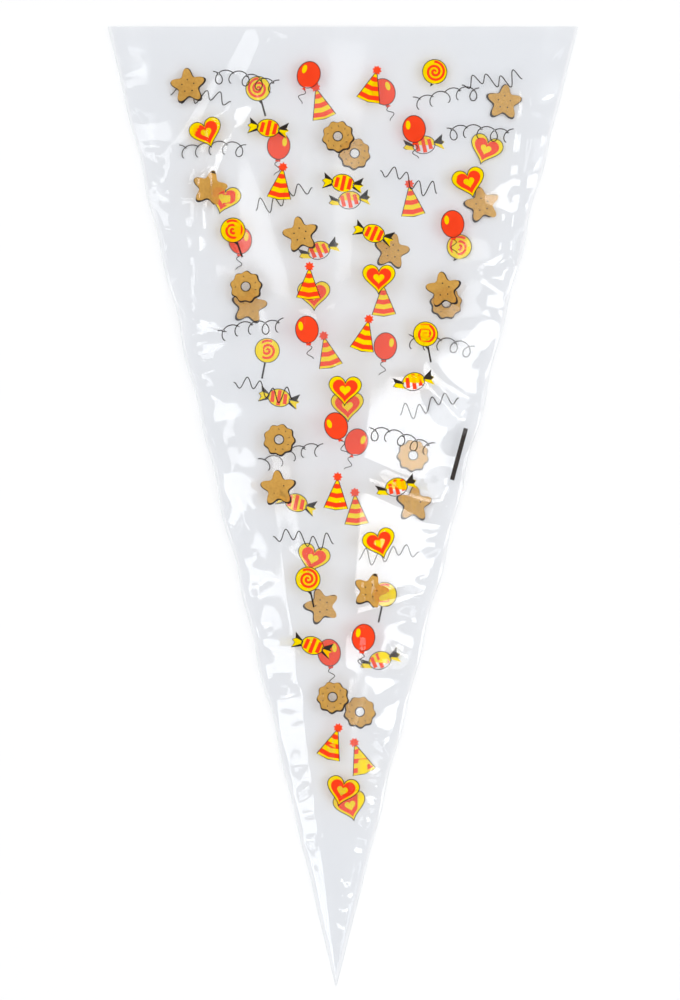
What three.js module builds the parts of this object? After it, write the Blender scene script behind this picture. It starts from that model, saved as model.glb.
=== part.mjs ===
// Clear film cone bag for sweets, lying on its back with a little air inside.
// Two triangular panels of film are welded together along both slanted sides and open across the straight top.
// Millimetres, +Z up. The mouth faces +Y and the tip -Y. The origin is on the table, under the middle of the bag.
import * as THREE from 'three';

// Cut size of the bag: the tip lies a little to one side of the mouth's middle
const bagLength = 370;
const mouthWidth = 181;
const tipShift = -2.7;

// Film, and the weld that runs along each slanted side and thickens to a melted bead at the cut
const filmThickness = 0.04;
const weldWidth = 1.2;
const beadThickness = 0.24;

// Air between the panels: its depth at the belly, and across the open mouth
const bellyDepth = 14;
const bellyFromTip = 235;
const mouthGap = 7;

// How the back panel lies: flat on the table in the middle, and curling up to the welds
const flatShare = 0.5;
const seamLift = 4.4;

// Puckers that the air draws along the welds: the welds wave up and down and in and out, and pleats run in from them
const waveHeight = 0.6;
const waveLength = 31;
const scallopDepth = 0.7;
const pleatHeight = 0.35;
const pleatLength = 24;
const pleatReach = 9;
const smoothMouthLength = 70;

// Broad creases of the front panel: straight ridges with both ends, how far the film falls away to the left and the
// right of the way from start to end, and their height. Ends are measured across from the middle line, and along from
// the mouth or the belly, towards the tip where the figure is negative
const mouthCreases = [
  { start: [-31, -7], end: [-43, -32], left: 8, right: 8, height: 1.0 },
  { start: [-43, -32], end: [-57, -59], left: 9, right: 13, height: 1.7 },
  { start: [-56, -57], end: [-57, -115], left: 6, right: 12, height: 1.8 },
];
const bellyCreases = [
  { start: [-9, 22], end: [-6, 6], left: 6, right: 6, height: 0.9 },
  { start: [10, -39], end: [48, -54], left: 7, right: 6, height: 0.9 },
  { start: [30, 0], end: [46, -16], left: 7, right: 8, height: 0.8 },
  { start: [6, -90], end: [30, -84], left: 7, right: 7, height: 0.7 },
  { start: [-44, -40], end: [-36, -58], left: 8, right: 6, height: 0.7 },
];
const creasesStartFromWeld = 2;

// Fineness of the surface
const rowCount = 74;
const columnCount = 20;

const smooth = THREE.MathUtils.smoothstep;
const mix = THREE.MathUtils.lerp;
const sideSlope = mouthWidth / 2 / bagLength;
// The two welds meet here, and the space inside the bag begins
const insideFromTip = weldWidth / sideSlope;

/** Depth of air on the centreline: it swells from the tip to the belly, then eases down to the mouth. */
function airDepth(fromTip) {
  if (fromTip > bellyFromTip) {
    return mix(bellyDepth, mouthGap, smooth(fromTip, bellyFromTip, bagLength));
  }
  const share = Math.max(0, fromTip - insideFromTip) / (bellyFromTip - insideFromTip);
  return bellyDepth * Math.sin((Math.PI / 2) * share);
}

/** Strength of the puckers from 0 to 1: they grow from the tip, and fade where the free mouth lets the film lie smooth. */
function puckering(fromTip) {
  const grown = smooth(fromTip, insideFromTip, bellyFromTip / 2);
  return grown * (1 - smooth(fromTip, bagLength - smoothMouthLength, bagLength));
}

/** An uneven wave along a weld, between -1 and 1. */
function unevenWave(fromTip, length, phase) {
  const turn = (2 * Math.PI * fromTip) / length;
  return 0.65 * Math.sin(turn + phase) + 0.35 * Math.sin(0.57 * turn + 2.3 * phase);
}

/** Height of a weld over the table. The side, -1 or 1, gives each weld waves of its own. */
function seamHeight(fromTip, side) {
  const wave = waveHeight * unevenWave(fromTip, waveLength, side);
  return (seamLift * airDepth(fromTip)) / bellyDepth + puckering(fromTip) * wave;
}

/** Height of the pleats at a distance in from the weld: none on the weld, most at pleatReach, then fading. */
function pleat(fromTip, fromWeld, phase) {
  const share = Math.max(0, fromWeld) / pleatReach;
  const fade = share * Math.exp(1 - share);
  return pleatHeight * puckering(fromTip) * fade * unevenWave(fromTip, pleatLength, phase);
}

/** Height of a crease at a place: its ridge falls away in flat facets on both sides and past both ends. */
function creaseHeight(crease, x, y) {
  const start = new THREE.Vector2(...crease.start);
  const along = new THREE.Vector2(...crease.end).sub(start);
  const reach = along.length();
  const place = new THREE.Vector2(x, y).sub(start);
  const step = along.dot(place) / reach;
  const aside = along.cross(place) / reach;
  const spread = aside > 0 ? crease.left : crease.right;
  const distance = Math.max(Math.abs(aside), -step, step - reach);
  return crease.height * Math.max(0, 1 - distance / spread);
}

/** Height of all the broad creases at a distance from the tip and across from the middle line, fading at the welds. */
function creasing(x, fromTip, fromWeld) {
  const free = THREE.MathUtils.clamp(fromWeld / creasesStartFromWeld, 0, 1);
  let height = 0;
  for (const [creases, origin] of [[mouthCreases, bagLength], [bellyCreases, bellyFromTip]]) {
    for (const crease of creases) {
      height += creaseHeight(crease, x, fromTip - origin);
    }
  }
  return free * height;
}

/** Where the bag is at a distance from the tip and a share across, -1 to 1: its place in plan and two outer heights. */
function station(fromTip, across) {
  const half = sideSlope * fromTip;
  const side = Math.sign(across);
  const fromWeld = (1 - Math.abs(across)) * half - weldWidth;
  const share = fromWeld > 0 ? 1 - fromWeld / (half - weldWidth) : 1;
  const edge = smooth(share, flatShare, 1);
  const backPleat = edge * pleat(fromTip, fromWeld, 2 * side);
  const frontPleat = edge * pleat(fromTip, fromWeld, 0.8 + side);
  const scallop = edge * puckering(fromTip) * scallopDepth * unevenWave(fromTip, waveLength, 1.5 - side);
  const x = tipShift * (1 - fromTip / bagLength) + across * half + side * scallop;
  const y = fromTip - bagLength / 2;
  const back = Math.max(0, edge * seamHeight(fromTip, side) + backPleat);
  const puff = airDepth(fromTip) * (1 - share ** 2) + frontPleat - backPleat + creasing(x, fromTip, fromWeld);
  const bead = Math.abs(across) === 1 ? beadThickness - 2 * filmThickness : 0;
  return { x, y, back, front: back + 2 * filmThickness + bead + Math.max(0, puff) };
}

/** The stations of one row: both cut sides, and between the welds' inner lines columns that crowd towards the welds. */
function stationRow(fromTip) {
  const weldLine = 1 - weldWidth / (sideSlope * fromTip);
  const shares = [-1];
  for (let column = 0; column <= columnCount; column += 1) {
    shares.push(weldLine * Math.sin((Math.PI / 2) * ((2 * column) / columnCount - 1)));
  }
  shares.push(1);
  return shares.map((across) => station(fromTip, across));
}

/** Points and triangles of one closed body. Corners are given as they run anticlockwise on a face that looks up. */
class Skin {
  constructor() {
    this.positions = [];
    this.corners = [];
  }

  point(x, y, z) {
    this.positions.push(x, y, z);
    return this.positions.length / 3 - 1;
  }

  triangle(a, b, c, looksUp = true) {
    this.corners.push(a, ...(looksUp ? [b, c] : [c, b]));
  }

  quad(a, b, c, d, looksUp = true) {
    this.triangle(a, b, c, looksUp);
    this.triangle(a, c, d, looksUp);
  }

  /** A sheet through rows of points that run from left to right, each row nearer the mouth than the last. */
  sheet(rows, looksUp) {
    for (let row = 1; row < rows.length; row += 1) {
      const near = rows[row - 1];
      const far = rows[row];
      for (let i = 1; i < far.length; i += 1) {
        this.quad(near[i - 1], near[i], far[i], far[i - 1], looksUp);
      }
    }
  }

  /** Triangles from a row of points to one point on the tip's side of it. */
  fan(tip, row, looksUp) {
    for (let i = 1; i < row.length; i += 1) {
      this.triangle(tip, row[i], row[i - 1], looksUp);
    }
  }

  geometry() {
    const geometry = new THREE.BufferGeometry();
    geometry.setAttribute('position', new THREE.Float32BufferAttribute(this.positions, 3));
    geometry.setIndex(this.corners);
    geometry.computeVertexNormals();
    return geometry;
  }
}

/** The outsides of both panels, welded flat together at the sides and running out to the tip. */
function addOutside(skin, stationRows) {
  const backRows = stationRows.map((row) => row.map((s) => skin.point(s.x, s.y, s.back)));
  const frontRows = stationRows.map((row) => row.map((s) => skin.point(s.x, s.y, s.front)));
  const tip = skin.point(tipShift, -bagLength / 2, filmThickness);
  skin.sheet(backRows, false);
  skin.sheet(frontRows, true);
  for (const [column, isLeft] of [[0, true], [columnCount + 2, false]]) {
    const cutSide = backRows.map((row, r) => [row[column], frontRows[r][column]]);
    skin.sheet(cutSide, isLeft);
    skin.fan(tip, cutSide[0], isLeft);
  }
  skin.fan(tip, backRows[0], false);
  skin.fan(tip, frontRows[0], true);
  return { back: backRows.at(-1), front: frontRows.at(-1) };
}

/** The insides of both panels, one film thickness in from the outsides, and meeting along the welds' inner lines. */
function addInside(skin, stationRows) {
  const rows = stationRows.map((row) => row.slice(1, -1));
  const backRows = rows.map((row) => row.map((s) => skin.point(s.x, s.y, s.back + filmThickness)));
  const frontRows = rows.map((row, r) => {
    const between = row.slice(1, -1).map((s) => skin.point(s.x, s.y, s.front - filmThickness));
    return [backRows[r][0], ...between, backRows[r].at(-1)];
  });
  const start = station(insideFromTip, 0);
  const middle = rows[0][columnCount / 2];
  const along = insideFromTip / (middle.y + bagLength / 2);
  const tip = skin.point(start.x, start.y, mix(filmThickness, (middle.back + middle.front) / 2, along));
  skin.sheet(backRows, true);
  skin.sheet(frontRows, false);
  skin.fan(tip, backRows[0], true);
  skin.fan(tip, frontRows[0], false);
  return { back: backRows.at(-1), front: frontRows.at(-1) };
}

/** The cut edge of the film round the open mouth, and the end of the weld at each side of it. */
function addMouthEdge(skin, outside, inside) {
  skin.sheet([outside.back.slice(1, -1), inside.back], false);
  skin.sheet([inside.front, outside.front.slice(1, -1)], false);
  for (const [cut, next, looksUp] of [[0, 1, false], [-1, -2, true]]) {
    const weldLine = inside.back.at(cut);
    skin.triangle(outside.back.at(cut), outside.back.at(next), weldLine, looksUp);
    skin.triangle(outside.back.at(cut), weldLine, outside.front.at(cut), looksUp);
    skin.triangle(outside.front.at(cut), weldLine, outside.front.at(next), looksUp);
  }
}

/** The bag as one closed body of film. */
function buildBag() {
  const skin = new Skin();
  const stationRows = [];
  for (let row = 1; row <= rowCount; row += 1) {
    stationRows.push(stationRow(mix(insideFromTip, bagLength, row / rowCount)));
  }
  addMouthEdge(skin, addOutside(skin, stationRows), addInside(skin, stationRows));
  return skin.geometry();
}

const clearFilm = new THREE.MeshStandardMaterial({
  name: 'clear_film',
  color: new THREE.Color(0.9, 0.92, 0.94),
  roughness: 0.08,
  metalness: 0,
  transparent: true,
  opacity: 0.35,
});

const bag = new THREE.Mesh(buildBag(), clearFilm);
bag.name = 'cone_bag';

const model = new THREE.Group();
model.add(bag);

export default model;
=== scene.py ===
"""A clear film cone bag for sweets: puffed, side-welded film with a translucent party print, on a table.

The file is laid out as a Blender add-on and is run as a script. Each operator makes one piece or group of
like pieces round the bag's solid, which the frame brings in. Lengths are metres where nothing else is said,
in the frame's own axes: the mouth faces +Y, the tip -Y, and the table is at z = 0.
"""

import math
import random

import bmesh
import bpy
import numpy as np
from bpy.props import FloatProperty, FloatVectorProperty, IntProperty, PointerProperty
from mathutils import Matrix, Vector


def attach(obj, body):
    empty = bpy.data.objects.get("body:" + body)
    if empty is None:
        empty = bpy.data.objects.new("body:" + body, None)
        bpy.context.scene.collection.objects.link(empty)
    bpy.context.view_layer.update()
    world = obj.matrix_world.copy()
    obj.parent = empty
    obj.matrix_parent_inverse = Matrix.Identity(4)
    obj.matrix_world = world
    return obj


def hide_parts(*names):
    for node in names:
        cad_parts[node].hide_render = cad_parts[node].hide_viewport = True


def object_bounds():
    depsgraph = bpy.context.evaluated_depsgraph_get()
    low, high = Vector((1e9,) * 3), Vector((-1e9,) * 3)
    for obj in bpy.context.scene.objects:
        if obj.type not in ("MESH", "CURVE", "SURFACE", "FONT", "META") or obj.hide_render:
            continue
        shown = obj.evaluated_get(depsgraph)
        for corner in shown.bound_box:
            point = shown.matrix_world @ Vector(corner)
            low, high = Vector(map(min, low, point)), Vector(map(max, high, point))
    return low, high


bl_info = {
    "name": "Clear Film Cone Bag",
    "version": (1, 0, 0),
    "blender": (4, 5, 0),
    "location": "3D View > Sidebar > Cone Bag",
    "description": "Builds a puffed, printed cone bag of clear film round its solid",
    "category": "Object",
}

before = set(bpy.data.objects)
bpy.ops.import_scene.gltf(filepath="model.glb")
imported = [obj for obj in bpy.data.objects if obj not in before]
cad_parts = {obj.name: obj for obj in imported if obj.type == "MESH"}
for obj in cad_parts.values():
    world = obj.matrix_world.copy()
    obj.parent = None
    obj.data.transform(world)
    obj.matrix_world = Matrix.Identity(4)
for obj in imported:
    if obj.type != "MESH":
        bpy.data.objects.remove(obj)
CAD_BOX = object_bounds()
BAG_NODE = "cone_bag"
BODY = "root"
MM = 0.001
WIDTH, LENGTH, _ = CAD_BOX[1] - CAD_BOX[0]


# Sizes and colours


def length(name, description, default):
    """A length property, in metres."""
    return FloatProperty(name=name, description=description, default=default, unit="LENGTH", precision=5)


def share(name, description, default):
    """A property from 0 to 1."""
    return FloatProperty(
        name=name, description=description, default=default, min=0, max=1, subtype="FACTOR"
    )


def level(name, description, default):
    """A brightness property."""
    return FloatProperty(name=name, description=description, default=default, min=0)


def colour(name, description, default):
    """A colour property, in linear light."""
    return FloatVectorProperty(
        name=name, description=description, default=default, size=3, min=0, max=1, subtype="COLOR"
    )


class BagSizes(bpy.types.PropertyGroup):
    """The bag as it is cut and welded, and as the air in it makes it lie"""

    mouth_width: length("Mouth width", "Width across the open mouth", WIDTH)
    bag_length: length("Length", "From the mouth's edge to the tip", LENGTH)
    tip_shift: length("Tip shift", "How far the tip lies to one side of the mouth's middle", -2.7 * MM)
    film: length("Film", "Thickness of the film", 0.04 * MM)
    weld_width: length("Weld width", "Width of the weld along each side", 1.2 * MM)
    bead: length("Weld bead", "Thickness of the melted bead on each cut side", 0.24 * MM)
    belly_depth: length("Belly depth", "Depth of air at the belly", 14 * MM)
    belly_from_tip: length("Belly place", "Distance of the belly from the tip", 235 * MM)
    mouth_gap: length("Mouth gap", "Depth of air at the open mouth", 7 * MM)
    flat_share: share("Flat share", "Share of the half width over which the back lies flat", 0.5)
    seam_lift: length("Seam lift", "How far the welds curl up off the table at the belly", 4.4 * MM)
    wave_height: length("Wave height", "Height of the waves along the welds", 0.6 * MM)
    wave_length: length("Wave length", "Length of those waves", 31 * MM)
    scallop_depth: length("Scallop depth", "How far the sides wander in and out", 0.7 * MM)
    pleat_height: length("Pleat height", "Height of the pleats that run in from the welds", 0.35 * MM)
    pleat_length: length("Pleat length", "Distance from pleat to pleat", 24 * MM)
    pleat_reach: length("Pleat reach", "Where the pleats are highest, from the weld", 9 * MM)
    smooth_mouth: length("Smooth mouth", "Length under the mouth where the puckers fade out", 70 * MM)


class FilmLook(bpy.types.PropertyGroup):
    """How the clear film looks"""

    tint: colour("Tint", "What one face of the film lets through", (0.988, 0.991, 0.996))
    haze: share("Haze", "Share of the light that the film scatters", 0.006)
    roughness: share("Roughness", "Roughness of the film's gloss", 0.07)
    weld_haze: share("Weld haze", "Share of the light that the melted welds scatter", 0.1)
    ripple: length("Ripple", "Height of the finest ripples in the film", 0.05 * MM)


class PrintLook(bpy.types.PropertyGroup):
    """The inks and the layout of the print"""

    yellow: colour("Yellow ink", "Colour of the yellow ink", (1.0, 0.76, 0.0))
    red: colour("Red ink", "Colour of the red-orange ink", (1.0, 0.075, 0.02))
    brown: colour("Brown ink", "Colour of the biscuit-brown ink", (0.84, 0.48, 0.115))
    dark: colour("Dark ink", "Colour of the dark ink of the outlines", (0.06, 0.05, 0.045))
    front_body: share("Front ink body", "Share of the light that the front panel's ink scatters back", 0.5)
    back_body: share("Back ink body", "Share of the light that the back panel's ink scatters back", 0.92)
    row_pitch: length("Row pitch", "Distance from row to row of motifs", 19.5 * MM)
    motif_pitch: length("Motif pitch", "Distance from motif to motif along a row", 25 * MM)
    margin: length("Margin", "Bare film beside the welds", 15 * MM)
    seed: IntProperty(name="Seed", description="Seed of the motifs' turns and small shifts", default=7)


class StageLook(bpy.types.PropertyGroup):
    """Camera, light and table"""

    lens: length("Lens", "Focal length of the camera, in metres", 0.2)
    pixel: length("Pixel", "Width on the table that one pixel of the picture shows", 0.385 * MM)
    floor: colour("Table", "Colour of the table", (0.78, 0.78, 0.78))
    room_low: level("Room light", "Brightness of the room round the table", 0.8)
    room_high: level("Room top", "Brightness of the room round the camera", 0.35)
    fill: level("Fill light", "Strength of the even light from above", 2.1)
    box_light: level("Box light", "Brightness of the soft boxes' faces", 3.2)


# The form of the puffed film


def smooth(value, low, high):
    """0 below low, 1 above high, and a smooth step between."""
    part = np.clip((value - low) / (high - low), 0.0, 1.0)
    return part * part * (3 - 2 * part)


def mix(low, high, part):
    """The value a part of the way from low to high."""
    return low + (high - low) * part


def uneven_wave(along, wave_length, phase):
    """An uneven wave between -1 and 1."""
    turn = 2 * math.pi * along / wave_length
    return 0.65 * np.sin(turn + phase) + 0.35 * np.sin(0.57 * turn + 2.3 * phase)


class Crease:
    """A straight ridge that falls away to both sides and past its ends, in flat facets or rounded."""

    def __init__(self, start, end, left, right, height, rounded=False):
        self.rounded = rounded
        self.start = complex(*start) * MM
        self.along = complex(*end) * MM - self.start
        self.left = left * MM
        self.right = right * MM
        self.height = height * MM

    def heights(self, x, y):
        """Height of the crease over points of the table."""
        reach = abs(self.along)
        place = (x + 1j * y - self.start) / self.along * reach
        spread = np.where(place.imag > 0, self.left, self.right)
        beyond = np.maximum(-place.real, place.real - reach)
        rise = np.clip(1 - np.maximum(np.abs(place.imag), beyond) / spread, 0, 1)
        return self.height * (smooth(rise, 0, 1) if self.rounded else rise)


# Creases of the front panel: straight ridges, or grooves where the height is negative. Each has both ends,
# how far the film falls away to the left and the right of the way from start to end, and its height, in
# millimetres. The broad ones are rounded, and the narrow ones fall away in flat facets
BROAD_CREASES = (
    ((-31, 178), (-43, 153), 8, 8, 1.0),
    ((-43, 153), (-57, 126), 9, 13, 1.7),
    ((-56, 128), (-57, 70), 6, 12, 1.8),
    ((-9, 72), (-6, 56), 6, 6, 0.9),
    ((10, 11), (48, -4), 7, 6, 0.9),
    ((30, 50), (46, 34), 7, 8, 0.8),
    ((6, -40), (30, -34), 7, 7, 0.7),
    ((-44, 10), (-36, -8), 8, 6, 0.7),
)
NARROW_CREASES = (
    ((52, 190), (70, 160), 4, 4, -0.8),
    ((71, 156), (64, 96), 4, 4, -0.8),
    ((-22, -66), (-17, -80), 5, 5, 0.5),
    ((-12, -22), (-4, -58), 8, 8, 0.4),
    ((13, -72), (5, -100), 6, 6, 0.35),
    ((30, -60), (9, -148), 1.2, 1.2, -0.3),
    ((-31, -82), (-24, -110), 1.2, 1.2, -0.3),
)

# Small creases along the welds. Distances are in millimetres from the tip: where the first lies, where they
# have grown to full size, where calmer film starts under the mouth, and a calmer part of the right side
CREASE_SEED = 11
FIRST_CREASE = 8.0
FULL_CREASES_FROM = 110
CALM_FROM = 280
CALM_SHARE = 0.35
CALM_RIGHT = (140, 235)
CALM_RIGHT_SHARE = 0.6
# Least and most of their length, distance from the weld, lean in radians, width, height for each millimetre of
# width, width on the other side, and distance to the next, in millimetres
DEPTHS = (2, 8.5)
INSETS = (0.6, 5)
LEANS = (-1.0, 1.0)
WIDTHS = (1.4, 4.2)
STEEPNESS = (0.02, 0.2)
OTHER_SIDES = (0.6, 1.6)
STEPS = (2, 6.5)
# The film lies smooth on the welds, and creases fade in over this distance from them
CREASES_START = 2 * MM


def side_creases(form):
    """Small creases that run in from the welds, smaller towards the tip and calmer under the mouth."""
    s = form.sizes
    rng = random.Random(CREASE_SEED)
    creases = []
    for side in (-1, 1):
        from_tip = FIRST_CREASE
        while from_tip < s.bag_length / MM - FIRST_CREASE / 2:
            grown = min(1.0, from_tip / FULL_CREASES_FROM)
            calm = CALM_SHARE if from_tip > CALM_FROM else 1.0
            calm_right = side > 0 and CALM_RIGHT[0] < from_tip < CALM_RIGHT[1]
            size = grown * calm * (CALM_RIGHT_SHARE if calm_right else 1.0)
            deep = rng.uniform(*DEPTHS) * mix(0.35, 1, size)
            inset = rng.uniform(*INSETS) * mix(0.4, 1, grown)
            lean = rng.uniform(*LEANS)
            half = form.slope * from_tip - s.weld_width / MM
            start = complex(side * (half - inset), from_tip)
            end = start + deep * complex(-side * math.cos(lean), math.sin(lean))
            width = rng.uniform(*WIDTHS) * mix(0.4, 1, size)
            height = rng.choice((-1, 1)) * width * rng.uniform(*STEEPNESS)
            shift = complex(form.middle(from_tip * MM) / MM, -s.bag_length / MM / 2)
            start += shift
            end += shift
            right = width * rng.uniform(*OTHER_SIDES)
            creases.append(Crease((start.real, start.imag), (end.real, end.imag), width, right, height))
            from_tip += rng.uniform(*STEPS) * mix(0.4, 1, grown) / calm**0.5
    return creases


class BagForm:
    """Where the film of the puffed bag lies, worked out from its sizes."""

    def __init__(self, sizes):
        self.sizes = sizes
        self.slope = sizes.mouth_width / 2 / sizes.bag_length
        self.inside_from_tip = sizes.weld_width / self.slope
        self.long_creases = [Crease(*crease, rounded=True) for crease in BROAD_CREASES]
        self.long_creases += [Crease(*crease) for crease in NARROW_CREASES]
        small = side_creases(self)
        self.front_creases = small[0::3] + small[1::3]
        self.back_creases = small[2::3]

    def middle(self, from_tip):
        """Place of the bag's middle line across the table."""
        return self.sizes.tip_shift * (1 - from_tip / self.sizes.bag_length)

    def air_depth(self, from_tip):
        """Depth of air on the middle line: it swells from the tip to the belly, then eases to the mouth."""
        s = self.sizes
        grown = (from_tip - self.inside_from_tip) / (s.belly_from_tip - self.inside_from_tip)
        lower = s.belly_depth * np.sin(math.pi / 2 * np.clip(grown, 0, 1))
        upper = mix(s.belly_depth, s.mouth_gap, smooth(from_tip, s.belly_from_tip, s.bag_length))
        return np.where(from_tip > s.belly_from_tip, upper, lower)

    def puckering(self, from_tip):
        """Strength of the puckers: they grow from the tip, and fade towards the free mouth."""
        s = self.sizes
        grown = smooth(from_tip, self.inside_from_tip, s.belly_from_tip / 2)
        return grown * (1 - smooth(from_tip, s.bag_length - s.smooth_mouth, s.bag_length))

    def pleat(self, from_tip, from_weld, phase):
        """Height of the pleats: none on the weld, most at their reach, then fading."""
        s = self.sizes
        part = np.maximum(0, from_weld) / s.pleat_reach
        fade = part * np.exp(1 - part)
        wave = uneven_wave(from_tip, s.pleat_length, phase)
        return s.pleat_height * self.puckering(from_tip) * fade * wave

    def heights(self, from_tip, across):
        """Place across the table and the outer heights of both panels, for shares across from -1 to 1.

        The welds wave up and down and wander in and out, and the creases and pleats fade out on them.
        """
        s = self.sizes
        half = self.slope * from_tip
        side = np.sign(across)
        from_weld = (1 - np.abs(across)) * half - s.weld_width
        open_half = np.maximum(half - s.weld_width, s.film)
        part = np.where(from_weld > 0, 1 - from_weld / open_half, 1.0)
        edge = smooth(part, s.flat_share, 1)
        back_pleat = edge * self.pleat(from_tip, from_weld, 2 * side)
        front_pleat = edge * self.pleat(from_tip, from_weld, 0.8 + side)
        scallop = edge * self.puckering(from_tip) * s.scallop_depth
        scallop = scallop * uneven_wave(from_tip, s.wave_length, 1.5 - side)
        seam_wave = s.wave_height * uneven_wave(from_tip, s.wave_length, side)
        air_depth = self.air_depth(from_tip)
        seam = s.seam_lift * air_depth / s.belly_depth + self.puckering(from_tip) * seam_wave
        x = self.middle(from_tip) + across * half + side * scallop
        y = from_tip - s.bag_length / 2
        free = np.clip(from_weld / CREASES_START, 0, 1)
        broad = sum(crease.heights(x, y) for crease in self.long_creases)
        front_small = sum(crease.heights(x, y) for crease in self.front_creases)
        back_small = sum(crease.heights(x, y) for crease in self.back_creases)
        back = np.maximum(0, edge * seam + back_pleat + free * back_small)
        air = air_depth * (1 - part**2) + front_pleat - back_pleat
        air = air + free * (broad + front_small - back_small)
        front = back + 2 * s.film + np.maximum(0, air)
        return x, back, front

    def on_panel(self, x, y, panel):
        """Outer height of a panel over points of the table."""
        from_tip = y + self.sizes.bag_length / 2
        across = (x - self.middle(from_tip)) / (self.slope * from_tip)
        _, back, front = self.heights(from_tip, across)
        return front if panel == "front" else back


# Meshes


def add_piece(name, mesh, material):
    """Puts a mesh into the scene as a piece of the bag that rides on its body."""
    piece = bpy.data.objects.new(name, mesh)
    bpy.context.scene.collection.objects.link(piece)
    mesh.materials.append(material)
    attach(piece, BODY)
    return piece


class Skin:
    """Points and faces of one closed body."""

    def __init__(self):
        self.points = []
        self.faces = []
        self.count = 0

    def grid(self, x, y, z):
        """Adds a grid of points and returns their numbers."""
        rows = np.stack([x, y, z], axis=-1)
        self.points.append(rows.reshape(-1, 3))
        numbers = np.arange(self.count, self.count + x.size).reshape(x.shape)
        self.count += x.size
        return numbers

    def point(self, x, y, z):
        """Adds one point and returns its number."""
        return int(self.grid(*(np.array([[value]]) for value in (x, y, z)))[0, 0])

    def sheet(self, rows, looks_up):
        """Quads through a grid of points whose rows run from the tip to the mouth."""
        corners = [rows[:-1, :-1], rows[:-1, 1:], rows[1:, 1:], rows[1:, :-1]]
        if not looks_up:
            corners.reverse()
        quads = np.stack(corners, axis=-1).reshape(-1, 4)
        self.faces.extend(quads.tolist())

    def fan(self, tip, row, looks_up):
        """Triangles from a row of points to one point on the tip's side of it."""
        for left, right in zip(row[:-1], row[1:]):
            self.faces.append([tip, int(right), int(left)] if looks_up else [tip, int(left), int(right)])

    def mesh(self, name):
        """The body as a smooth-shaded mesh with crisp cut edges."""
        mesh = bpy.data.meshes.new(name)
        mesh.from_pydata(np.concatenate(self.points).tolist(), [], self.faces)
        mesh.validate()
        mesh.shade_smooth()
        mesh.set_sharp_from_angle(angle=math.radians(60))
        return mesh


FILM_ROWS = 330
FILM_COLUMNS = 72


def column_shares(weld_line):
    """Shares across between the welds' inner lines, closer together beside them."""
    even = np.linspace(-1, 1, FILM_COLUMNS + 1)
    crowded = 0.5 * even + 0.5 * np.sin(math.pi / 2 * even)
    return weld_line[:, None] * crowded[None, :]


def add_mouth_edge(skin, outside, inside):
    """The cut edge of the film round the open mouth, and the end of the weld at each side of it."""
    outer_back, outer_front = outside
    inner_back, inner_front = inside
    skin.sheet(np.stack([outer_back[1:-1], inner_back]), False)
    skin.sheet(np.stack([inner_front, outer_front[1:-1]]), False)
    for cut, beside, looks_up in ((0, 1, False), (-1, -2, True)):
        weld_line = int(inner_back[cut])
        corners = [outer_back[beside], outer_back[cut], outer_front[cut], outer_front[beside]]
        fan = [[int(a), weld_line, int(b)] for a, b in zip(corners[:-1], corners[1:])]
        skin.faces.extend([face[::-1] for face in fan] if looks_up else fan)


def film_mesh(form):
    """Both panels of film as one closed skin of true thickness, open at the mouth."""
    s = form.sizes
    skin = Skin()
    step = np.arange(1, FILM_ROWS + 1) / FILM_ROWS
    from_tip = mix(form.inside_from_tip, s.bag_length, step)
    weld_line = 1 - s.weld_width / (form.slope * from_tip)
    ends = np.ones((FILM_ROWS, 1))
    shares = np.hstack([-ends, column_shares(weld_line), ends])
    from_tip = np.repeat(from_tip[:, None], shares.shape[1], axis=1)
    x, back, front = form.heights(from_tip, shares)
    y = from_tip - s.bag_length / 2
    outer_back = skin.grid(x, y, back)
    outer_front = skin.grid(x, y, front)
    inner = slice(1, -1)
    inner_back = skin.grid(x[:, inner], y[:, inner], back[:, inner] + s.film)
    between = slice(2, -2)
    inner_middle = skin.grid(x[:, between], y[:, between], front[:, between] - s.film)
    inner_front = np.hstack([inner_back[:, :1], inner_middle, inner_back[:, -1:]])
    tip = skin.point(s.tip_shift, -s.bag_length / 2, s.film)
    inside_y = form.inside_from_tip - s.bag_length / 2
    inside = skin.point(form.middle(form.inside_from_tip), inside_y, 1.5 * s.film)
    skin.sheet(outer_back, False)
    skin.sheet(outer_front, True)
    skin.sheet(inner_back, True)
    skin.sheet(inner_front, False)
    for column, looks_up in ((0, True), (-1, False)):
        side = np.stack([outer_back[:, column], outer_front[:, column]], axis=1)
        skin.sheet(side, looks_up)
        skin.fan(tip, side[0], looks_up)
    skin.fan(tip, outer_back[0], False)
    skin.fan(tip, outer_front[0], True)
    skin.fan(inside, inner_back[0], True)
    skin.fan(inside, inner_front[0], False)
    add_mouth_edge(skin, (outer_back[-1], outer_front[-1]), (inner_back[-1], inner_front[-1]))
    return skin.mesh("bag_film")


WELD_ROWS = 700
BEAD_SIDES = 8
# The bead swells and thins by this share, in lumps of two lengths
LUMP_SHARE = 0.25
LUMP_LENGTHS = (1.7 * MM, 4.3 * MM)


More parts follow.
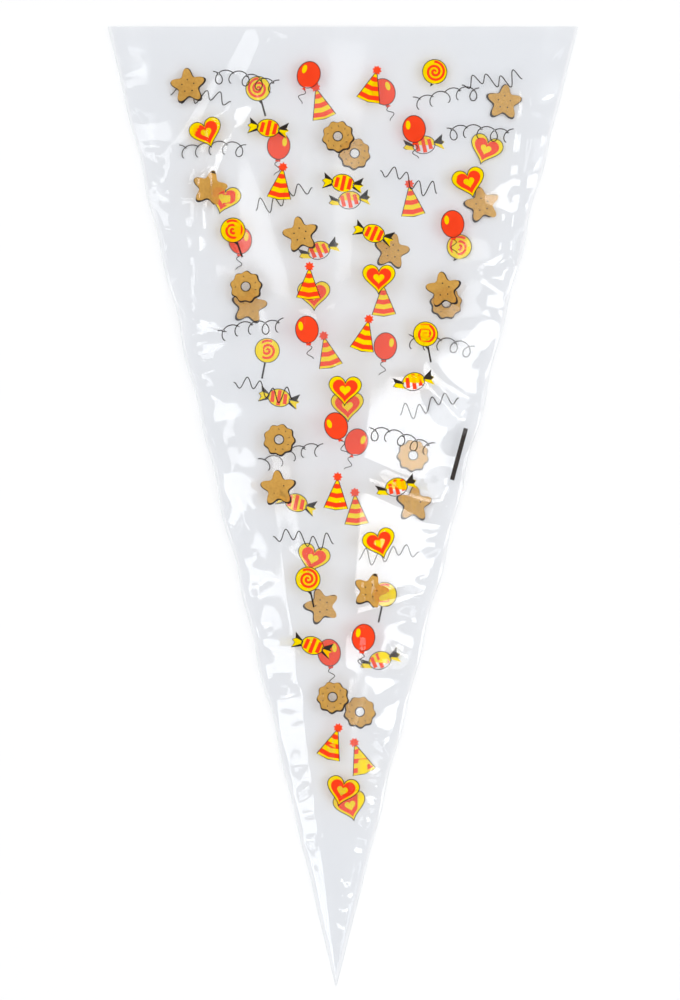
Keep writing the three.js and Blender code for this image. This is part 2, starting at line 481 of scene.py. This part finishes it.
def weld_mesh(form):
    """The melted, slightly lumpy bead along each cut side, as two closed tubes that end beside the tip."""
    s = form.sizes
    skin = Skin()
    from_tip = np.linspace(s.weld_width, s.bag_length, WELD_ROWS)
    angle = np.linspace(0, 2 * math.pi, BEAD_SIDES + 1)[:-1]
    for side in (-1.0, 1.0):
        x, back, front = form.heights(from_tip, np.full_like(from_tip, side))
        lump = np.sin(from_tip / LUMP_LENGTHS[0] + side) * np.sin(from_tip / LUMP_LENGTHS[1])
        radius = 0.5 * s.bead * (1 + LUMP_SHARE * lump)
        centre_z = np.maximum((back + front) / 2, radius)
        ring_x = x[:, None] - side * radius[:, None] + radius[:, None] * np.cos(angle)
        ring_z = centre_z[:, None] + radius[:, None] * np.sin(angle)
        ring_y = np.repeat((from_tip - s.bag_length / 2)[:, None], BEAD_SIDES, axis=1)
        numbers = skin.grid(ring_x, ring_y, ring_z)
        closed = np.hstack([numbers, numbers[:, :1]])
        skin.sheet(closed, False)
        skin.faces.append(numbers[0].tolist())
        skin.faces.append(numbers[-1][::-1].tolist())
    return skin.mesh("side_welds")


# Outlines of the motifs, in metres about their own middle, as lists of complex numbers


def ellipse(width, height, centre=0j, count=28):
    """An upright ellipse."""
    turn = 2 * math.pi * np.arange(count) / count
    return centre + width / 2 * np.cos(turn) + 1j * height / 2 * np.sin(turn)


def star(radius, waist, points=5, count=12):
    """A soft-pointed star."""
    turn = 2 * math.pi * np.arange(points * count) / (points * count)
    swell = (0.5 + 0.5 * np.cos(points * turn)) ** 1.3
    return 1j * mix(waist, radius, swell) * np.exp(1j * turn)


def heart(width, count=40):
    """A plump heart."""
    turn = 2 * math.pi * np.arange(count) / count
    x = 16 * np.sin(turn) ** 3
    y = 13 * np.cos(turn) - 5 * np.cos(2 * turn) - 2 * np.cos(3 * turn) - np.cos(4 * turn)
    return (x + 1j * (y + 2)) * width / 32


def polygon(*corners):
    """Straight sides between corners given as x, y in millimetres."""
    return np.array([complex(x, y) for x, y in corners]) * MM


def stroke(line, width, closed=False):
    """The outlines of a pen line of even width: one round an open line, or both edges of a closed one."""
    line = np.asarray(line)
    if closed:
        along = np.roll(line, -1) - np.roll(line, 1)
    else:
        along = np.gradient(line)
    sideways = 1j * along / np.maximum(np.abs(along), 1e-9) * width / 2
    if closed:
        return [line + sideways, line - sideways]
    return [np.concatenate([line + sideways, (line - sideways)[::-1]])]


PEN = 0.4 * MM
FINE_PEN = 0.3 * MM


def outlined(shape, pen=PEN):
    """The pen line round a shape."""
    return stroke(shape, pen, closed=True)


def star_biscuit():
    """A soft star of biscuit with a dark rim, thicker on its shadow side, and a ring of pricked holes."""
    body = star(6.9 * MM, 4.1 * MM)
    rim = [body * 1.05 + (0.25 - 0.3j) * MM, body * 0.97]
    places = [2.4 * MM * np.exp(1j * (0.3 + k * 2 * math.pi / 5)) for k in range(5)]
    holes = [ellipse(0.6 * MM, 0.6 * MM, place, 8) for place in places]
    return {"brown": [body], "dark": [*rim, *holes]}


def ring_biscuit():
    """A ring of biscuit with a scalloped rim and pen crumbs."""
    turn = 2 * math.pi * np.arange(72) / 72
    body = (5.7 + 0.35 * np.cos(9 * turn)) * MM * np.exp(1j * turn)
    hole = ellipse(3.6 * MM, 3.6 * MM)
    crumbs = []
    for k in range(9):
        start = 3.7 * MM * np.exp(1j * (k * 2 * math.pi / 9 + 0.2))
        crumbs += stroke([start, start * 1.14 * np.exp(0.09j)], FINE_PEN)
    rim = [body * 1.05 + (0.2 - 0.25j) * MM, body * 0.97]
    return {"brown": [body, hole], "dark": [*rim, *outlined(hole), *crumbs]}


def party_heart():
    """A yellow heart with a red heart on it."""
    body = heart(12.5 * MM)
    return {"yellow": [body], "red": [heart(9.6 * MM), heart(4.2 * MM)], "dark": outlined(body, FINE_PEN)}


def wrapped_sweet():
    """A striped sweet with twisted paper ends."""
    body = ellipse(8.6 * MM, 6.8 * MM)
    upper = [(-3.9, 0.5), (-7.6, 3.0), (-6.9, 0.9), (-8.0, 0.0)]
    lower = [(-6.9, -0.9), (-7.6, -3.0), (-3.9, -0.5)]
    left = polygon(*upper, *lower)
    stripes = [
        polygon((x, -h), (x + 1.5, -h - 0.1), (x + 1.9, h), (x + 0.5, h + 0.1))
        for x, h in ((-3.3, 1.9), (-0.9, 2.9), (1.6, 2.1))
    ]
    lines = outlined(body, FINE_PEN) + outlined(left, FINE_PEN) + outlined(-left, FINE_PEN)
    return {"yellow": [body, left, -left], "red": stripes, "dark": lines}


def party_hat():
    """A pointed paper hat with red bands and a bobble."""
    body = polygon((-4.6, -5.6), (0, -6.3), (4.6, -5.6), (0.4, 5.2), (-0.4, 5.2))
    bands = [
        polygon((-4.2, -4.7), (0, -5.4), (4.2, -4.7), (3.5, -3.0), (0, -3.6), (-3.5, -3.0)),
        polygon((-2.8, -1.3), (0, -1.8), (2.8, -1.3), (2.1, 0.4), (0, 0.0), (-2.1, 0.4)),
        polygon((-1.4, 2.1), (0, 1.8), (1.4, 2.1), (0.8, 3.7), (-0.8, 3.7)),
    ]
    bobble = star(1.9 * MM, 1.3 * MM, 8, 5) + 6.4j * MM
    return {"yellow": [body], "red": [*bands, bobble], "dark": outlined(body, FINE_PEN)}


def balloon():
    """A red balloon with a yellow light on it, and its string."""
    body = ellipse(8.8 * MM, 10.4 * MM, 2.6j * MM)
    light = ellipse(1.8 * MM, 3.4 * MM, (-2.2 + 4.2j) * MM, 16)
    knot = polygon((-0.9, -3.5), (0.9, -3.5), (0, -2.3))
    down = np.linspace(0, 1, 24)
    string = (1.1 * np.sin(2.6 * math.pi * down) - 1j * (3.4 + 5.4 * down)) * MM
    lines = outlined(body, FINE_PEN) + stroke(string, FINE_PEN)
    return {"red": [body, light, knot], "yellow": [light], "dark": lines}


def lolly():
    """A round lollipop with a red whirl on yellow, on a stick."""
    body = ellipse(9.4 * MM, 9.4 * MM, 2.4j * MM)
    turn = np.linspace(0.5, 4.6 * math.pi, 60)
    whirl = stroke(2.4j * MM + 0.27 * MM * turn * np.exp(1j * turn), 0.95 * MM)
    stick = stroke(np.linspace(-2.4j, -8.6j, 6) * MM, 0.7 * MM)
    return {"yellow": [body], "red": whirl, "dark": outlined(body, FINE_PEN) + stick}


def curly_streamer():
    """A thin looping pen line."""
    turn = np.linspace(0, 5 * 2 * math.pi, 150)
    x = 0.82 * turn - 12.9 + 2.5 * np.sin(turn)
    y = 2.6 * np.cos(turn) + 1.1 * np.sin(0.16 * turn)
    return {"dark": stroke((x + 1j * y) * MM, PEN)}


def wavy_streamer():
    """A thin waving pen line with a curl at its end."""
    turn = np.linspace(0, 1, 120)
    x = 23 * turn - 11.5
    y = 2.9 * np.cos(9 * math.pi * turn) * (0.55 + 0.45 * turn) + 2.2 * np.sin(2 * math.pi * turn)
    return {"dark": stroke((x + 1j * y) * MM, PEN)}


# The order in which the print takes its motifs, each of which is drawn about its own middle
MOTIFS = (
    star_biscuit, curly_streamer, balloon, party_hat, lolly, wavy_streamer, party_heart, wrapped_sweet,
    ring_biscuit, balloon, curly_streamer, star_biscuit, party_hat, wrapped_sweet, wavy_streamer,
    party_heart, lolly, star_biscuit, wrapped_sweet, balloon, ring_biscuit, party_hat, party_heart,
)


def motif_reach(motif):
    """How far a motif reaches from its middle."""
    return max(float(np.abs(shape).max()) for shapes in motif().values() for shape in shapes)


# How far the rear panel's print lies off the front panel's mirror image
REAR_SHIFT = complex(2.5, -6.0) * MM
# Most that a motif wanders across and along from its place in a row, and most that it turns, in radians
WANDER_ACROSS = 2.4 * MM
WANDER_ALONG = 2.2 * MM
MOST_TURN = 0.35
# The first row's distance from the mouth and the last one's from the tip, in row pitches
FIRST_ROW = 1.1
LAST_ROW = 3
# Share of the margin that is left bare at the tip, and share of it that a motif keeps clear
TIP_MARGIN = 0.45
CLEAR_MARGIN = 0.3


def print_places(form, look):
    """Where the motifs of one panel go, as motif function, middle and turn, from the mouth down."""
    s = form.sizes
    rng = random.Random(look.seed)
    places = []
    waiting = list(MOTIFS)
    from_tip = s.bag_length - FIRST_ROW * look.row_pitch
    while from_tip > LAST_ROW * look.row_pitch:
        half = form.slope * from_tip
        bare = look.margin * mix(TIP_MARGIN, 1.0, min(1, from_tip / s.belly_from_tip))
        rear_half = form.slope * (from_tip - abs(REAR_SHIFT.imag)) - REAR_SHIFT.real
        count = max(1, round(2 * (half - bare) / look.motif_pitch))
        for i in range(count):
            part = (2 * i + 1) / count - 1
            x = form.middle(from_tip) + part * (half - bare) + rng.uniform(-1, 1) * WANDER_ACROSS
            y = from_tip - s.bag_length / 2 + rng.uniform(-1, 1) * WANDER_ALONG
            turn = rng.uniform(-MOST_TURN, MOST_TURN)
            for motif in waiting:
                if abs(x) + motif_reach(motif) < rear_half - CLEAR_MARGIN * bare:
                    places.append((motif, complex(x, y), turn))
                    waiting.remove(motif)
                    waiting.append(motif)
                    break
        from_tip -= look.row_pitch
    return places


def print_outlines(form, look, panel):
    """The outlines of each ink on a panel. The rear panel's print is seen from inside, so it is mirrored."""
    inks = {"yellow": [], "red": [], "brown": [], "dark": []}
    for motif, middle, turn in print_places(form, look):
        for ink, shapes in motif().items():
            for shape in shapes:
                outline = middle + shape * np.exp(1j * turn)
                if panel == "back":
                    outline = -np.conj(outline) + REAR_SHIFT
                inks[ink].append(outline)
    return inks


# The print is cut into strips this wide each way, and follows the film from cut to cut
DRAPE_STEP = 4 * MM
# Distance of each ink from the front panel. On the back panel it is the stack's height less that, so that
# seen from above the dark ink lies over the others on both
INK_GAPS = {"yellow": 0.02 * MM, "red": 0.03 * MM, "brown": 0.03 * MM, "dark": 0.04 * MM}
INK_STACK = 0.06 * MM


def flat_print(outlines, name):
    """A flat mesh of filled outlines, where an outline inside another cuts a hole in it."""
    curve = bpy.data.curves.new(name, "CURVE")
    curve.dimensions = "2D"
    curve.fill_mode = "FRONT"
    for outline in outlines:
        spline = curve.splines.new("POLY")
        spline.points.add(len(outline) - 1)
        spline.use_cyclic_u = True
        for point, place in zip(spline.points, outline):
            point.co = (place.real, place.imag, 0, 1)
    holder = bpy.data.objects.new(name, curve)
    bpy.context.scene.collection.objects.link(holder)
    bpy.context.view_layer.update()
    mesh = bpy.data.meshes.new_from_object(holder.evaluated_get(bpy.context.evaluated_depsgraph_get()))
    bpy.data.objects.remove(holder)
    bpy.data.curves.remove(curve)
    mesh.name = name
    return mesh


def drape(mesh, form, panel, ink):
    """Lays the flat print of one ink on a panel, after cutting it finely enough to follow the film."""
    work = bmesh.new()
    work.from_mesh(mesh)
    s = form.sizes
    for axis, span in ((0, s.mouth_width), (1, s.bag_length)):
        for step in np.arange(-span / 2 + DRAPE_STEP, span / 2, DRAPE_STEP):
            place = [0.0] * 3
            place[axis] = step
            normal = [0.0] * 3
            normal[axis] = 1.0
            geometry = [*work.verts, *work.edges, *work.faces]
            bmesh.ops.bisect_plane(work, geom=geometry, dist=1e-7, plane_co=place, plane_no=normal)
    flat = np.array([v.co[:2] for v in work.verts])
    height = form.on_panel(flat[:, 0], flat[:, 1], panel)
    side = 1 if panel == "front" else -1
    layer = INK_GAPS[ink] if panel == "front" else INK_STACK - INK_GAPS[ink]
    for vert, z in zip(work.verts, height):
        vert.co.z = z + side * layer
    for face in work.faces:
        face.smooth = True
        if face.normal.z * side < 0:
            face.normal_flip()
    work.to_mesh(mesh)
    work.free()
    mesh.update()
    return mesh


# The sensor mark, with its lean in radians
MARK_WIDTH = 1.7 * MM
MARK_LENGTH = 20.5 * MM
MARK_PLACE = complex(44.5, 20.5) * MM
MARK_LEAN = -0.262


def mark_outline():
    """The plain bar that a cutter's light sensor reads, along the right weld."""
    corner = complex(MARK_WIDTH, MARK_LENGTH) / 2
    bar = np.array([-corner, corner.conjugate(), corner, -corner.conjugate()])
    return MARK_PLACE + bar * np.exp(1j * MARK_LEAN)


# Materials


def new_material(name):
    """An empty node material with its output."""
    material = bpy.data.materials.new(name)
    material.use_nodes = True
    nodes = material.node_tree.nodes
    nodes.clear()
    return material, nodes, material.node_tree.links, nodes.new("ShaderNodeOutputMaterial")


def ripple_group():
    """A node group that gives the fine uneven ripples of drawn film, as a normal and as a mask."""
    name = "film_ripple"
    if name in bpy.data.node_groups:
        return bpy.data.node_groups[name]
    group = bpy.data.node_groups.new(name, "ShaderNodeTree")
    group.interface.new_socket("Scale", in_out="INPUT", socket_type="NodeSocketFloat")
    group.interface.new_socket("Height", in_out="INPUT", socket_type="NodeSocketFloat")
    group.interface.new_socket("Normal", in_out="OUTPUT", socket_type="NodeSocketVector")
    group.interface.new_socket("Mask", in_out="OUTPUT", socket_type="NodeSocketFloat")
    nodes, links = group.nodes, group.links
    source = nodes.new("NodeGroupInput")
    result = nodes.new("NodeGroupOutput")
    place = nodes.new("ShaderNodeTexCoord")
    noise = nodes.new("ShaderNodeTexNoise")
    noise.inputs["Detail"].default_value = 2
    bump = nodes.new("ShaderNodeBump")
    bump.inputs["Strength"].default_value = 1.0
    links.new(place.outputs["Object"], noise.inputs["Vector"])
    links.new(source.outputs["Scale"], noise.inputs["Scale"])
    links.new(source.outputs["Height"], bump.inputs["Distance"])
    links.new(noise.outputs["Fac"], bump.inputs["Height"])
    links.new(bump.outputs["Normal"], result.inputs["Normal"])
    links.new(noise.outputs["Fac"], result.inputs["Mask"])
    return group


def place_ripple(nodes, scale, height):
    """The ripple group in a material, with its own values."""
    node = nodes.new("ShaderNodeGroup")
    node.node_tree = ripple_group()
    node.inputs["Scale"].default_value = scale
    node.inputs["Height"].default_value = height
    return node


# Ripples in a metre of film
FILM_RIPPLES = 70
# What one face of the film mirrors head-on, and how sharply that grows to everything at a glancing angle
HEAD_ON = 0.037
GLANCING_POWER = 5
GLOSS_COLOUR = (1, 1, 1, 1)
HAZE_COLOUR = (0.95, 0.96, 0.97, 1)


def film_material(name, look, haze):
    """Clear film: it lets light through unbent, and mirrors by how steeply it is seen."""
    material, nodes, links, output = new_material(name)
    clear = nodes.new("ShaderNodeBsdfTransparent")
    clear.inputs["Color"].default_value = (*look.tint, 1)
    gloss = nodes.new("ShaderNodeBsdfGlossy")
    gloss.inputs["Color"].default_value = GLOSS_COLOUR
    gloss.inputs["Roughness"].default_value = look.roughness
    veil = nodes.new("ShaderNodeBsdfDiffuse")
    veil.inputs["Color"].default_value = HAZE_COLOUR
    ripple = place_ripple(nodes, FILM_RIPPLES, look.ripple)
    facing = nodes.new("ShaderNodeLayerWeight")
    facing.inputs["Blend"].default_value = 0.5
    power = nodes.new("ShaderNodeMath")
    power.operation = "POWER"
    power.inputs[1].default_value = GLANCING_POWER
    mirror = nodes.new("ShaderNodeMath")
    mirror.operation = "MULTIPLY_ADD"
    mirror.inputs[1].default_value = 1 - HEAD_ON
    mirror.inputs[2].default_value = HEAD_ON
    hazy = nodes.new("ShaderNodeMixShader")
    hazy.inputs["Fac"].default_value = haze
    surface = nodes.new("ShaderNodeMixShader")
    links.new(ripple.outputs["Normal"], gloss.inputs["Normal"])
    links.new(ripple.outputs["Normal"], facing.inputs["Normal"])
    links.new(facing.outputs["Facing"], power.inputs[0])
    links.new(power.outputs[0], mirror.inputs[0])
    links.new(mirror.outputs[0], surface.inputs["Fac"])
    links.new(clear.outputs[0], hazy.inputs[1])
    links.new(veil.outputs[0], hazy.inputs[2])
    links.new(hazy.outputs[0], surface.inputs[1])
    links.new(gloss.outputs[0], surface.inputs[2])
    links.new(surface.outputs[0], output.inputs["Surface"])
    return material


# How strongly each ink is specked, and the specks in a metre of ink
INK_SPECKS = {"yellow": 0.03, "red": 0.05, "brown": 0.42, "dark": 0.1}
SPECKS = 1100


def ink_material(name, ink, look, body):
    """Translucent printing ink: it tints what lies behind it, and scatters some light back."""
    material, nodes, links, output = new_material(name)
    tone = getattr(look, ink)
    ripple = place_ripple(nodes, SPECKS, 0)
    speck = nodes.new("ShaderNodeMix")
    speck.data_type = "RGBA"
    speck.blend_type = "MULTIPLY"
    speck.inputs["Factor"].default_value = INK_SPECKS[ink]
    speck.inputs["A"].default_value = (*tone, 1)
    clear = nodes.new("ShaderNodeBsdfTransparent")
    solid = nodes.new("ShaderNodeBsdfDiffuse")
    surface = nodes.new("ShaderNodeMixShader")
    surface.inputs["Fac"].default_value = body
    links.new(ripple.outputs["Mask"], speck.inputs["B"])
    links.new(speck.outputs["Result"], clear.inputs["Color"])
    links.new(speck.outputs["Result"], solid.inputs["Color"])
    links.new(clear.outputs[0], surface.inputs[1])
    links.new(solid.outputs[0], surface.inputs[2])
    links.new(surface.outputs[0], output.inputs["Surface"])
    return material


def floor_material(tone):
    """A matt white table top."""
    material, nodes, links, output = new_material("white_table")
    surface = nodes.new("ShaderNodeBsdfPrincipled")
    surface.inputs["Base Color"].default_value = (*tone, 1)
    surface.inputs["Roughness"].default_value = 0.9
    surface.inputs["Specular IOR Level"].default_value = 0.1
    links.new(surface.outputs[0], output.inputs["Surface"])
    return material


# Operators


class CONEBAG_OT_film(bpy.types.Operator):
    """Makes the clear film of both panels in place of the bag's solid"""

    bl_idname = "conebag.film"
    bl_label = "Film"

    def execute(self, context):
        form = BagForm(context.scene.cone_bag_sizes)
        look = context.scene.cone_bag_film
        material = film_material("clear_film", look, look.haze)
        film = add_piece("bag_film", film_mesh(form), material)
        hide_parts(BAG_NODE)
        return {"FINISHED"}


class CONEBAG_OT_side_welds(bpy.types.Operator):
    """Makes the melted bead along each slanted side"""

    bl_idname = "conebag.side_welds"
    bl_label = "Side Welds"

    def execute(self, context):
        form = BagForm(context.scene.cone_bag_sizes)
        look = context.scene.cone_bag_film
        material = film_material("melted_weld", look, look.weld_haze)
        add_piece("side_welds", weld_mesh(form), material)
        return {"FINISHED"}


class CONEBAG_OT_party_print(bpy.types.Operator):
    """Prints the party motifs on both panels, one piece for each ink and panel"""

    bl_idname = "conebag.party_print"
    bl_label = "Party Print"

    def execute(self, context):
        form = BagForm(context.scene.cone_bag_sizes)
        look = context.scene.cone_bag_print
        for panel, body in (("back", look.back_body), ("front", look.front_body)):
            for ink, outlines in print_outlines(form, look, panel).items():
                name = f"print_{panel}_{ink}"
                mesh = drape(flat_print(outlines, name), form, panel, ink)
                material = ink_material(f"{panel}_{ink}_ink", ink, look, body)
                add_piece(name, mesh, material)
        return {"FINISHED"}


class CONEBAG_OT_sensor_mark(bpy.types.Operator):
    """Prints the plain dark bar beside the right weld"""

    bl_idname = "conebag.sensor_mark"
    bl_label = "Sensor Mark"

    def execute(self, context):
        form = BagForm(context.scene.cone_bag_sizes)
        look = context.scene.cone_bag_print
        mesh = drape(flat_print([mark_outline()], "sensor_mark"), form, "front", "dark")
        material = ink_material("mark_ink", "dark", look, look.front_body)
        add_piece("sensor_mark", mesh, material)
        return {"FINISHED"}


FLOOR_GAP = 0.1 * MM
FLOOR_SIZE = 6.0
# The camera's sensor, which the picture's longer side fills, and the pixel of the picture where the mouth's
# edge has its middle
SENSOR = 36 * MM
PICTURE = (680, 1000)
MOUTH_PIXEL = (343, 27)
VIEW_DEPTH = 20
# A path of light crosses this many faces of film and ink at most
MOST_FACES = 32
FILL_ANGLE = math.radians(70)

# Soft boxes, which hang level over the table: name, where the middle hangs over it along X and Y, size along
# X and Y, and brightness against the others
BOX_HEIGHT = 1.8
SOFT_BOXES = (
    ("upper_left_box", -0.72, 0.52, 0.46, 0.46, 0.55),
    ("left_box", -1.08, 0.27, 0.54, 0.28, 0.6),
    ("right_box", 1.14, -0.19, 1.46, 0.44, 1.1),
    ("right_strip", 1.2, 0.36, 0.4, 0.3, 1.0),
    ("top_strip", 0.02, 0.57, 0.13, 0.38, 0.36),
    ("lower_left_box", -1.2, -0.18, 0.6, 0.12, 0.7),
)


def add_soft_box(look, name, x, y, size_x, size_y, brightness):
    """A rectangular soft box that hangs level over the table and shines down."""
    lamp = bpy.data.lights.new(name, "AREA")
    lamp.shape = "RECTANGLE"
    lamp.size = size_x
    lamp.size_y = size_y
    lamp.energy = look.box_light * brightness * math.pi * size_x * size_y
    box = bpy.data.objects.new(name, lamp)
    box.location = (x, y, BOX_HEIGHT)
    bpy.context.scene.collection.objects.link(box)


def add_fill(look):
    """Even light from overhead that the film doesn't mirror."""
    lamp = bpy.data.lights.new("fill", "SUN")
    lamp.energy = look.fill
    lamp.angle = FILL_ANGLE
    fill = bpy.data.objects.new("fill", lamp)
    fill.visible_glossy = False
    bpy.context.scene.collection.objects.link(fill)


# How far up, from 0 level with the table to 1 overhead, the room's dimming starts and ends
DIMMING_FROM = 0.1
DIMMING_TO = 0.8
ROOM_COLOUR = (0.97, 0.98, 1.0, 1)


def room(look):
    """A world that is bright all round and dimmer overhead, where the camera hangs."""
    world = bpy.data.worlds.new("room")
    world.use_nodes = True
    nodes, links = world.node_tree.nodes, world.node_tree.links
    background = nodes["Background"]
    direction = nodes.new("ShaderNodeTexCoord")
    axes = nodes.new("ShaderNodeSeparateXYZ")
    dimming = nodes.new("ShaderNodeMapRange")
    dimming.inputs["From Min"].default_value = DIMMING_FROM
    dimming.inputs["From Max"].default_value = DIMMING_TO
    dimming.inputs["To Min"].default_value = look.room_low
    dimming.inputs["To Max"].default_value = look.room_high
    links.new(direction.outputs["Generated"], axes.inputs[0])
    links.new(axes.outputs["Z"], dimming.inputs["Value"])
    links.new(dimming.outputs[0], background.inputs["Strength"])
    background.inputs["Color"].default_value = ROOM_COLOUR
    return world


class CONEBAG_OT_stage(bpy.types.Operator):
    """Makes the white table, the soft light and the camera that looks straight down"""

    bl_idname = "conebag.stage"
    bl_label = "Stage"

    def execute(self, context):
        scene = context.scene
        look = scene.cone_bag_stage
        sizes = scene.cone_bag_sizes
        mesh = bpy.data.meshes.new("table")
        half = FLOOR_SIZE / 2
        corners = [(-half, -half), (half, -half), (half, half), (-half, half)]
        mesh.from_pydata([(x, y, -FLOOR_GAP) for x, y in corners], [], [(0, 1, 2, 3)])
        table = bpy.data.objects.new("table", mesh)
        mesh.materials.append(floor_material(look.floor))
        scene.collection.objects.link(table)

        scene.world = room(look)
        add_fill(look)
        for soft_box in SOFT_BOXES:
            add_soft_box(look, *soft_box)

        camera_data = bpy.data.cameras.new("camera")
        camera_data.sensor_width = SENSOR / MM
        camera_data.lens = look.lens / MM
        camera = bpy.data.objects.new("camera", camera_data)
        scene.collection.objects.link(camera)
        x = (PICTURE[0] / 2 - MOUTH_PIXEL[0]) * look.pixel
        y = sizes.bag_length / 2 - (PICTURE[1] / 2 - MOUTH_PIXEL[1]) * look.pixel
        height = PICTURE[1] * look.pixel * look.lens / SENSOR
        camera.location = (x, y, height)
        camera_data.clip_end = VIEW_DEPTH
        scene.camera = camera

        scene.view_settings.view_transform = "Standard"
        scene.view_settings.look = "None"
        scene.cycles.transparent_max_bounces = MOST_FACES
        return {"FINISHED"}


class VIEW3D_PT_cone_bag(bpy.types.Panel):
    """Lists the steps that build the bag, with their sizes and colours"""

    bl_label = "Cone Bag"
    bl_space_type = "VIEW_3D"
    bl_region_type = "UI"
    bl_category = "Cone Bag"

    def draw(self, context):
        layout = self.layout
        for operator in OPERATORS:
            layout.operator(operator.bl_idname)
        for group in GROUPS:
            box = layout.box()
            settings = getattr(context.scene, group)
            for name in GROUPS[group].__annotations__:
                box.prop(settings, name)


OPERATORS = (
    CONEBAG_OT_film,
    CONEBAG_OT_side_welds,
    CONEBAG_OT_party_print,
    CONEBAG_OT_sensor_mark,
    CONEBAG_OT_stage,
)
GROUPS = {
    "cone_bag_sizes": BagSizes,
    "cone_bag_film": FilmLook,
    "cone_bag_print": PrintLook,
    "cone_bag_stage": StageLook,
}


def register():
    for group in GROUPS.values():
        bpy.utils.register_class(group)
    for operator in OPERATORS:
        bpy.utils.register_class(operator)
    bpy.utils.register_class(VIEW3D_PT_cone_bag)
    for name, group in GROUPS.items():
        setattr(bpy.types.Scene, name, PointerProperty(type=group))


def unregister():
    for name in GROUPS:
        delattr(bpy.types.Scene, name)
    bpy.utils.unregister_class(VIEW3D_PT_cone_bag)
    for operator in reversed(OPERATORS):
        bpy.utils.unregister_class(operator)
    for group in GROUPS.values():
        bpy.utils.unregister_class(group)


def main():
    """Builds the bag and the stage in order."""
    register()
    bpy.ops.conebag.film()
    bpy.ops.conebag.side_welds()
    bpy.ops.conebag.party_print()
    bpy.ops.conebag.sensor_mark()
    bpy.ops.conebag.stage()


if __name__ == "__main__":
    main()
